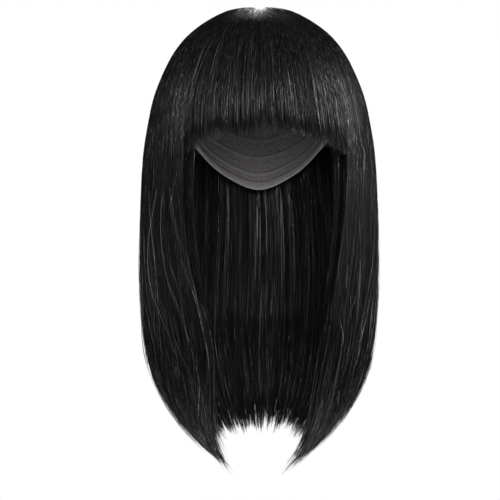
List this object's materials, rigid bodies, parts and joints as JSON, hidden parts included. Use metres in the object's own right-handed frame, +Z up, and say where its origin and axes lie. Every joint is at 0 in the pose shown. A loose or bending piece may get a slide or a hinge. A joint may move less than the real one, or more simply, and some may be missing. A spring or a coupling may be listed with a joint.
{
  "type": "bob wig",
  "caption": "Straight black shoulder-length bob wig with a full fringe, its tips curved inwards, sewn to an open cap with a pale scalp patch at the crown.",
  "frame": {"origin": "the inside top of the cap, where it rests on the crown of the head", "axes": "+Z up; the open face looks along -Y; +X is the wearer's left"},
  "size_m": [0.2003, 0.2167, 0.3815],
  "materials": {
    "hair": "straight synthetic hair, near black, satin gloss along the strands",
    "cap_net": "black stretch net with rows of sewn wefts, matte",
    "scalp_skin": "thin pale skin-coloured sheet with hair knotted through it, matte"
  },
  "bodies": {
    "root": {"cap": "cap_net", "scalp_patch": "scalp_skin", "fringe": "hair", "side_left": "hair", "back_left": "hair", "back_right": "hair", "side_right": "hair"}
  },
  "joints": []
}
